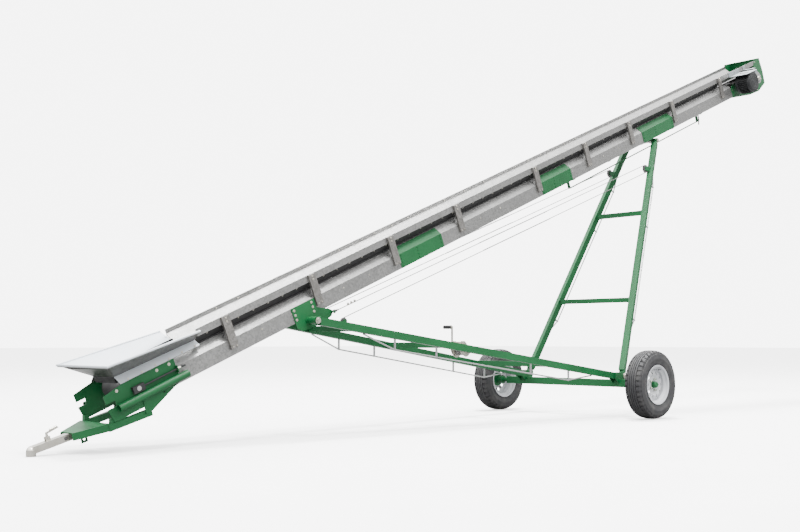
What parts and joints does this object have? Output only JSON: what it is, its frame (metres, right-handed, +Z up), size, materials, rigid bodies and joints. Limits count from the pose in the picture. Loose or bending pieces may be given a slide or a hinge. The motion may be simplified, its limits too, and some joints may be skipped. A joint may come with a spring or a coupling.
{
  "type": "portable belt conveyor",
  "caption": "Inclined portable belt conveyor: steel trough boom with hopper, belt, head drive and hood on a wheeled, cable-lifted A-frame with a ball-coupler tongue.",
  "frame": {"origin": "on the ground, under the middle of the machine's box", "axes": "+X towards the discharge end, +Y to the left when looking that way, +Z up"},
  "size_m": [10.2356, 2.225, 4.5965],
  "materials": {
    "galvanised_sheet": "galvanised, dull",
    "green_paint": "semi-gloss green paint",
    "grey_paint": "grey enamel",
    "hopper_paint": "light grey paint",
    "belt_rubber": "matt black",
    "skirt_rubber": "matt black",
    "zinc": "bright zinc plate",
    "steel": "machined",
    "cable": "stranded wire rope",
    "motor_paint": "dark grey enamel",
    "cast": "painted casting",
    "v_belt": "matt",
    "tyre": "matt",
    "rim_paint": "silver paint"
  },
  "bodies": {
    "boom": {"side_panel_right": "galvanised_sheet", "side_panel_left": "galvanised_sheet", "slider_bed": "galvanised_sheet", "deck_braces": "galvanised_sheet", "skirt_rail_right": "galvanised_sheet", "skirt_rail_left": "galvanised_sheet", "rubber_skirts": "skirt_rubber", "rail_posts": "galvanised_sheet", "splice_covers": "green_paint", "rail_bolts": "zinc", "belt": "belt_rubber", "hopper": "hopper_paint", "tail_plate_right": "green_paint", "tail_plate_left": "green_paint", "tail_tubes": "green_paint", "tongue": "green_paint", "coupler_body": "zinc", "head_plates": "green_paint", "discharge_hood": "green_paint", "drive_motor": "motor_paint", "motor_mount": "grey_paint", "gear_reducer": "grey_paint", "drive_belt": "v_belt", "lift_track_right": "green_paint", "lift_track_left": "green_paint", "pivot_plates": "green_paint", "parking_hook": "steel"},
    "lower_frame": {"arm_right": "green_paint", "arm_left": "green_paint", "axle_beam": "green_paint", "arm_crossbars": "green_paint", "arm_truss_rods": "zinc", "winch_frame": "zinc"},
    "lift_legs": {"leg_right": "green_paint", "leg_left": "green_paint", "leg_crossbars": "green_paint", "leg_top_shaft": "steel", "leg_truss_rods": "zinc"},
    "track_rollers": {"track_rollers": "steel"},
    "leg_sheaves": {"leg_sheaves": "steel"},
    "arm_sheaves": {"arm_sheaves": "steel"},
    "winch_drum": {"winch_drum": "zinc"},
    "winch_crank": {"winch_crank": "zinc"},
    "anchor_cable_low": {"anchor_cable_low": "cable"},
    "anchor_cable_high": {"anchor_cable_high": "cable"},
    "winch_cable_low": {"winch_cable_low": "cable"},
    "winch_cable_high": {"winch_cable_high": "cable"},
    "wheel_right": {"tyre_right": "tyre", "rim_right": "rim_paint", "hub_right": "green_paint"},
    "wheel_left": {"tyre_left": "tyre", "rim_left": "rim_paint", "hub_left": "green_paint"},
    "take_up": {"take_up_blocks": "cast"},
    "tail_pulley": {"tail_pulley": "steel"},
    "head_pulley": {"head_pulley": "steel"},
    "return_idler": {"return_idler": "steel"},
    "drive_sheave": {"drive_sheave": "steel"},
    "motor_sheave": {"motor_sheave": "steel"},
    "coupler_latch": {"coupler_latch": "zinc"}
  },
  "joints": [
    {"name": "boom_lift", "type": "hinge", "parent": "boom", "child": "lower_frame", "pos_m": [-2.82677, 0, 0.955], "axis": [0, 1, 0], "range_deg": [-12, 3.5]},
    {"name": "leg_fold", "type": "hinge", "parent": "lower_frame", "child": "lift_legs", "pos_m": [1.04823, 0, 0.425], "axis": [0, 1, 0], "range_deg": [-9.4, 29.8]},
    {"name": "track_roller_spin", "type": "hinge", "parent": "lift_legs", "child": "track_rollers", "pos_m": [2.43552, 0, 3.13964], "axis": [0, 1, 0], "continuous": true},
    {"name": "leg_sheave_spin", "type": "hinge", "parent": "lift_legs", "child": "leg_sheaves", "pos_m": [2.13008, 0, 2.76502], "axis": [0, 1, 0], "continuous": true},
    {"name": "arm_sheave_spin", "type": "hinge", "parent": "lower_frame", "child": "arm_sheaves", "pos_m": [-2.47598, 0, 0.95132], "axis": [0, 1, 0], "continuous": true},
    {"name": "anchor_cable_low_swing", "type": "hinge", "parent": "boom", "child": "anchor_cable_low", "pos_m": [-2.57854, 0, 1.03463], "axis": [0, 1, 0], "range_deg": [-2.54, 1.45]},
    {"name": "anchor_cable_high_swing", "type": "hinge", "parent": "lift_legs", "child": "anchor_cable_high", "pos_m": [2.13008, 0, 2.76502], "axis": [0, 1, 0], "range_deg": [-19.34, 6.35]},
    {"name": "winch_cable_low_swing", "type": "hinge", "parent": "lower_frame", "child": "winch_cable_low", "pos_m": [-2.47598, 0, 0.95132], "axis": [0, 1, 0], "range_deg": [-4.25, 12.16]},
    {"name": "winch_cable_high_swing", "type": "hinge", "parent": "lift_legs", "child": "winch_cable_high", "pos_m": [2.13008, 0, 2.76502], "axis": [0, 1, 0], "range_deg": [-18.64, 6.15]},
    {"name": "winch_drum_turn", "type": "hinge", "parent": "lower_frame", "child": "winch_drum", "pos_m": [-1.10177, -0.34, 0.6931], "axis": [0, 1, 0], "continuous": true},
    {"name": "winch_crank_turn", "type": "hinge", "parent": "lower_frame", "child": "winch_crank", "pos_m": [-1.14877, -0.3, 0.7591], "axis": [0, 1, 0], "continuous": true},
    {"name": "wheel_right_spin", "type": "hinge", "parent": "lower_frame", "child": "wheel_right", "pos_m": [0.98623, -1.01, 0.345], "axis": [0, 1, 0], "continuous": true},
    {"name": "wheel_left_spin", "type": "hinge", "parent": "lower_frame", "child": "wheel_left", "pos_m": [0.98623, 1.01, 0.345], "axis": [0, 1, 0], "continuous": true},
    {"name": "belt_take_up", "type": "slide", "parent": "boom", "child": "take_up", "axis": [0.9225, 0, 0.3859], "range_m": [0, 0.03]},
    {"name": "tail_pulley_spin", "type": "hinge", "parent": "take_up", "child": "tail_pulley", "pos_m": [-4.39926, 0, 0.45077], "axis": [0, 1, 0], "continuous": true},
    {"name": "head_pulley_spin", "type": "hinge", "parent": "boom", "child": "head_pulley", "pos_m": [4.66929, 0, 4.24423], "axis": [0, 1, 0], "continuous": true},
    {"name": "return_idler_spin", "type": "hinge", "parent": "boom", "child": "return_idler", "pos_m": [0.24418, 0, 2.28087], "axis": [0, 1, 0], "continuous": true},
    {"name": "drive_sheave_spin", "type": "hinge", "parent": "boom", "child": "drive_sheave", "pos_m": [4.58383, -0.246, 4.29303], "axis": [0, 1, 0], "continuous": true},
    {"name": "motor_sheave_spin", "type": "hinge", "parent": "boom", "child": "motor_sheave", "pos_m": [4.33984, -0.246, 4.12485], "axis": [0, 1, 0], "continuous": true},
    {"name": "coupler_latch_lift", "type": "hinge", "parent": "boom", "child": "coupler_latch", "pos_m": [-4.96913, 0, 0.1188], "axis": [0, -1, 0], "range_deg": [0, 75]}
  ],
  "couplings": [
    {"joint": "leg_fold", "follows": "boom_lift", "ratio": -2.4},
    {"joint": "anchor_cable_low_swing", "follows": "boom_lift", "ratio": 0.1283},
    {"joint": "anchor_cable_high_swing", "follows": "boom_lift", "ratio": 1.5283},
    {"joint": "winch_cable_low_swing", "follows": "boom_lift", "ratio": -0.9298},
    {"joint": "winch_cable_high_swing", "follows": "boom_lift", "ratio": 1.4702},
    {"joint": "winch_crank_turn", "follows": "winch_drum_turn", "ratio": -3},
    {"joint": "tail_pulley_spin", "follows": "head_pulley_spin", "ratio": 1},
    {"joint": "return_idler_spin", "follows": "head_pulley_spin", "ratio": -4},
    {"joint": "drive_sheave_spin", "follows": "head_pulley_spin", "ratio": 15},
    {"joint": "motor_sheave_spin", "follows": "head_pulley_spin", "ratio": 23.571}
  ]
}
